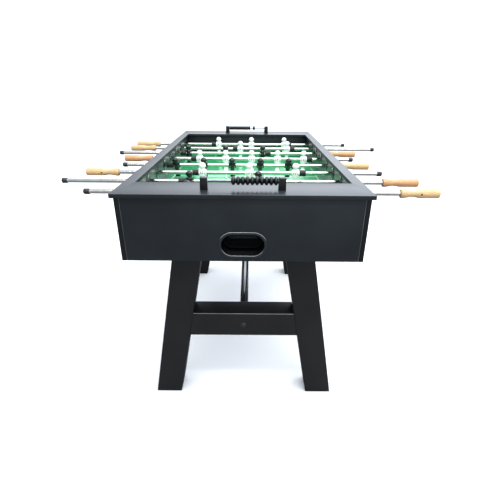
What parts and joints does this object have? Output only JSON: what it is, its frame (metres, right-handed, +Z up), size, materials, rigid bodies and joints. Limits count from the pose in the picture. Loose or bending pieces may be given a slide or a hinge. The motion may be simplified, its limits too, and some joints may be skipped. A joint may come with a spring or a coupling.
{
  "type": "foosball table",
  "caption": "Full-height foosball table: panelled cabinet on splayed leg frames, sliding and turning rods of players with wooden grips, ball return cups and bead score counters.",
  "frame": {"origin": "on the floor below the middle of the table", "axes": "+X along the rods to the right seen from the front end, +Y along the field to the back end, +Z up"},
  "size_m": [1.377, 1.4, 0.929],
  "materials": {
    "cabinet_laminate": "black satin laminate on fibreboard",
    "frame_laminate": "black semi-gloss laminate on fibreboard",
    "leg_laminate": "black satin laminate on fibreboard",
    "playfield_print": "printed green field under a clear gloss film",
    "rod_chrome": "polished chrome plate",
    "handle_wood": "clear varnished maple",
    "man_black": "gloss moulded",
    "man_white": "gloss moulded",
    "painted_steel": "gloss black lacquer",
    "black_plastic": "semi-gloss moulded"
  },
  "bodies": {
    "cabinet": {"side_panel_left": "cabinet_laminate", "side_panel_right": "cabinet_laminate", "end_panel_front": "cabinet_laminate", "end_panel_back": "cabinet_laminate", "goal_wall_front": "cabinet_laminate", "goal_wall_back": "cabinet_laminate", "playfield": "playfield_print", "cabinet_base": "cabinet_laminate", "top_frame": "frame_laminate", "leg_frame_front": "leg_laminate", "leg_frame_back": "leg_laminate", "stretcher": "painted_steel", "score_stand_front": "black_plastic", "score_stand_back": "black_plastic"},
    "black_goalie_shaft": {"black_goalie_rod": "rod_chrome"},
    "black_goalie_team": {"black_goalie_handle": "handle_wood", "black_goalie_man_1": "man_black", "black_goalie_man_2": "man_black", "black_goalie_man_3": "man_black"},
    "black_defence_shaft": {"black_defence_rod": "rod_chrome"},
    "black_defence_team": {"black_defence_handle": "handle_wood", "black_defence_man_1": "man_black", "black_defence_man_2": "man_black"},
    "white_attack_shaft": {"white_attack_rod": "rod_chrome"},
    "white_attack_team": {"white_attack_handle": "handle_wood", "white_attack_man_1": "man_white", "white_attack_man_2": "man_white", "white_attack_man_3": "man_white"},
    "black_midfield_shaft": {"black_midfield_rod": "rod_chrome"},
    "black_midfield_team": {"black_midfield_handle": "handle_wood", "black_midfield_man_1": "man_black", "black_midfield_man_2": "man_black", "black_midfield_man_3": "man_black", "black_midfield_man_4": "man_black", "black_midfield_man_5": "man_black"},
    "white_midfield_shaft": {"white_midfield_rod": "rod_chrome"},
    "white_midfield_team": {"white_midfield_handle": "handle_wood", "white_midfield_man_1": "man_white", "white_midfield_man_2": "man_white", "white_midfield_man_3": "man_white", "white_midfield_man_4": "man_white", "white_midfield_man_5": "man_white"},
    "black_attack_shaft": {"black_attack_rod": "rod_chrome"},
    "black_attack_team": {"black_attack_handle": "handle_wood", "black_attack_man_1": "man_black", "black_attack_man_2": "man_black", "black_attack_man_3": "man_black"},
    "white_defence_shaft": {"white_defence_rod": "rod_chrome"},
    "white_defence_team": {"white_defence_handle": "handle_wood", "white_defence_man_1": "man_white", "white_defence_man_2": "man_white"},
    "white_goalie_shaft": {"white_goalie_rod": "rod_chrome"},
    "white_goalie_team": {"white_goalie_handle": "handle_wood", "white_goalie_man_1": "man_white", "white_goalie_man_2": "man_white", "white_goalie_man_3": "man_white"},
    "front_bead_stack": {"score_beads_front": "black_plastic"},
    "front_single_bead": {"score_bead_front": "black_plastic"},
    "back_bead_stack": {"score_beads_back": "black_plastic"},
    "back_single_bead": {"score_bead_back": "black_plastic"}
  },
  "joints": [
    {"name": "black_goalie_slide", "type": "slide", "parent": "cabinet", "child": "black_goalie_shaft", "axis": [1, 0, 0], "range_m": [-0.12, 0.12]},
    {"name": "black_goalie_spin", "type": "hinge", "parent": "black_goalie_shaft", "child": "black_goalie_team", "pos_m": [0, -0.5005, 0.8405], "axis": [1, 0, 0], "continuous": true},
    {"name": "black_defence_slide", "type": "slide", "parent": "cabinet", "child": "black_defence_shaft", "axis": [1, 0, 0], "range_m": [-0.10556, 0.25844]},
    {"name": "black_defence_spin", "type": "hinge", "parent": "black_defence_shaft", "child": "black_defence_team", "pos_m": [0, -0.3575, 0.8405], "axis": [1, 0, 0], "continuous": true},
    {"name": "white_attack_slide", "type": "slide", "parent": "cabinet", "child": "white_attack_shaft", "axis": [1, 0, 0], "range_m": [-0.1368, 0.1032]},
    {"name": "white_attack_spin", "type": "hinge", "parent": "white_attack_shaft", "child": "white_attack_team", "pos_m": [0, -0.2145, 0.8405], "axis": [1, 0, 0], "continuous": true},
    {"name": "black_midfield_slide", "type": "slide", "parent": "cabinet", "child": "black_midfield_shaft", "axis": [1, 0, 0], "range_m": [-0.00372, 0.12028]},
    {"name": "black_midfield_spin", "type": "hinge", "parent": "black_midfield_shaft", "child": "black_midfield_team", "pos_m": [0, -0.0715, 0.8405], "axis": [1, 0, 0], "continuous": true},
    {"name": "white_midfield_slide", "type": "slide", "parent": "cabinet", "child": "white_midfield_shaft", "axis": [1, 0, 0], "range_m": [-0.0899, 0.0341]},
    {"name": "white_midfield_spin", "type": "hinge", "parent": "white_midfield_shaft", "child": "white_midfield_team", "pos_m": [0, 0.0715, 0.8405], "axis": [1, 0, 0], "continuous": true},
    {"name": "black_attack_slide", "type": "slide", "parent": "cabinet", "child": "black_attack_shaft", "axis": [1, 0, 0], "range_m": [-0.015, 0.225]},
    {"name": "black_attack_spin", "type": "hinge", "parent": "black_attack_shaft", "child": "black_attack_team", "pos_m": [0, 0.2145, 0.8405], "axis": [1, 0, 0], "continuous": true},
    {"name": "white_defence_slide", "type": "slide", "parent": "cabinet", "child": "white_defence_shaft", "axis": [1, 0, 0], "range_m": [-0.27664, 0.08736]},
    {"name": "white_defence_spin", "type": "hinge", "parent": "white_defence_shaft", "child": "white_defence_team", "pos_m": [0, 0.3575, 0.8405], "axis": [1, 0, 0], "continuous": true},
    {"name": "white_goalie_slide", "type": "slide", "parent": "cabinet", "child": "white_goalie_shaft", "axis": [1, 0, 0], "range_m": [-0.1476, 0.0924]},
    {"name": "white_goalie_spin", "type": "hinge", "parent": "white_goalie_shaft", "child": "white_goalie_team", "pos_m": [0, 0.5005, 0.8405], "axis": [1, 0, 0], "continuous": true},
    {"name": "front_bead_stack_slide", "type": "slide", "parent": "cabinet", "child": "front_bead_stack", "axis": [1, 0, 0], "range_m": [-0.034, 0]},
    {"name": "front_single_bead_slide", "type": "slide", "parent": "front_bead_stack", "child": "front_single_bead", "axis": [1, 0, 0], "range_m": [-0.034, 0]},
    {"name": "back_bead_stack_slide", "type": "slide", "parent": "cabinet", "child": "back_bead_stack", "axis": [1, 0, 0], "range_m": [0, 0.028]},
    {"name": "back_single_bead_slide", "type": "slide", "parent": "back_bead_stack", "child": "back_single_bead", "axis": [1, 0, 0], "range_m": [-0.0135, 0.027]}
  ]
}
